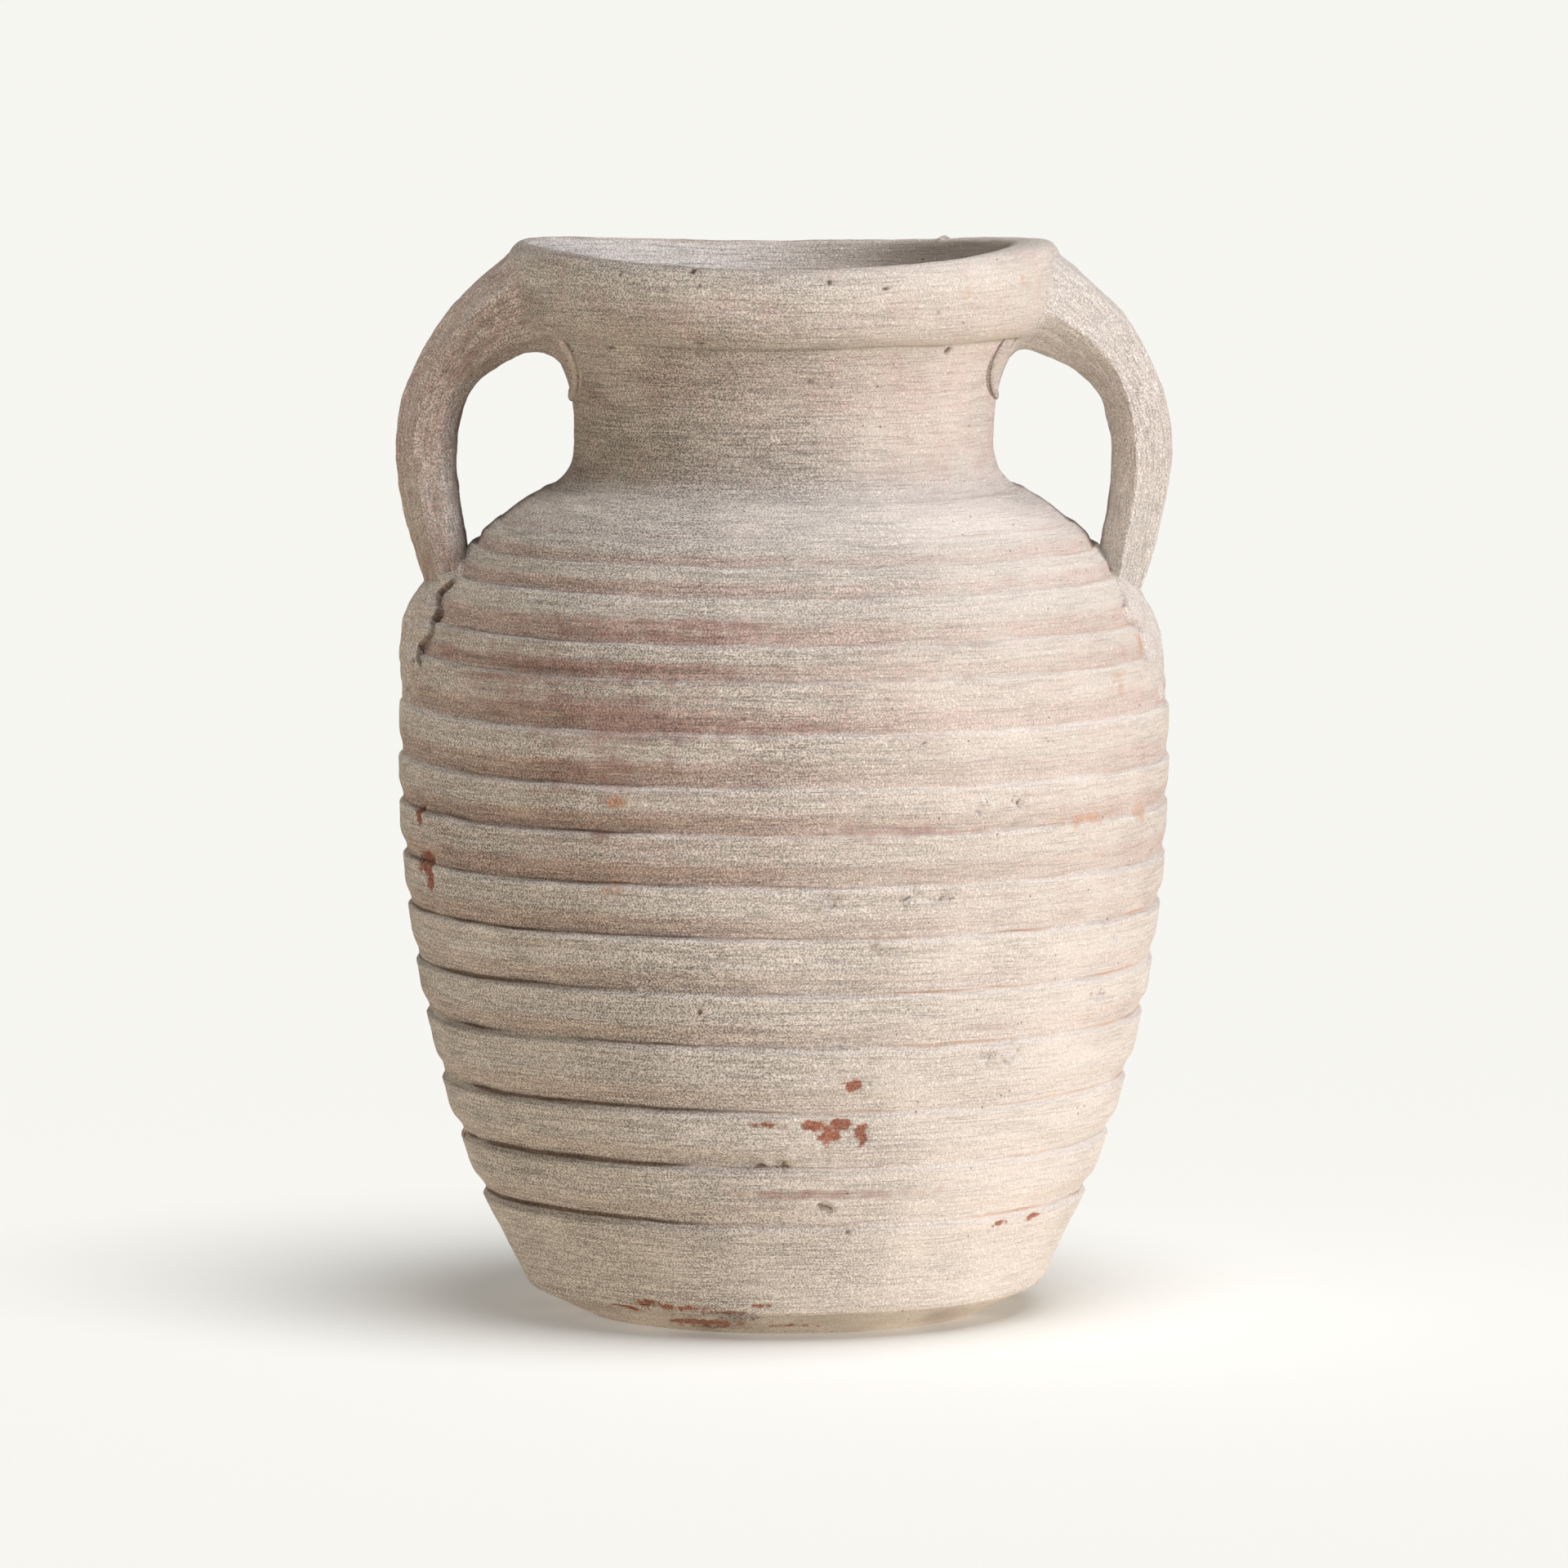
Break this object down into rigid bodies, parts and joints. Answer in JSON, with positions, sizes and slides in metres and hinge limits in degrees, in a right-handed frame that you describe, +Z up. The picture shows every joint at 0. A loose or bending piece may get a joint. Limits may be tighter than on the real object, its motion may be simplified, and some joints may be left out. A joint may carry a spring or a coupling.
{
  "type": "amphora vase",
  "caption": "Handled amphora vase in slipped terracotta: ribbed egg-shaped body, short waisted neck, rolled rim, strap handles and a bevelled flat foot.",
  "frame": {"origin": "middle of the flat foot, on the surface that the vase stands on", "axes": "+Z up along the axis of the vessel, X through the two handles, -Y towards the front"},
  "size_m": [0.2618, 0.2614, 0.36],
  "materials": {
    "slipped_wall": "matte",
    "slipped_handle": "matte",
    "trimmed_floor": "matte"
  },
  "bodies": {
    "root": {"foot_section": "slipped_wall", "lower_section": "slipped_wall", "belly_section": "slipped_wall", "shoulder_section": "slipped_wall", "neck_section": "slipped_wall", "rolled_rim": "slipped_wall", "right_handle": "slipped_handle", "right_handle_wad": "slipped_handle", "right_handle_coil": "slipped_handle", "left_handle": "slipped_handle", "left_handle_wad": "slipped_handle", "left_handle_coil": "slipped_handle", "floor_slab": "trimmed_floor"}
  },
  "joints": []
}
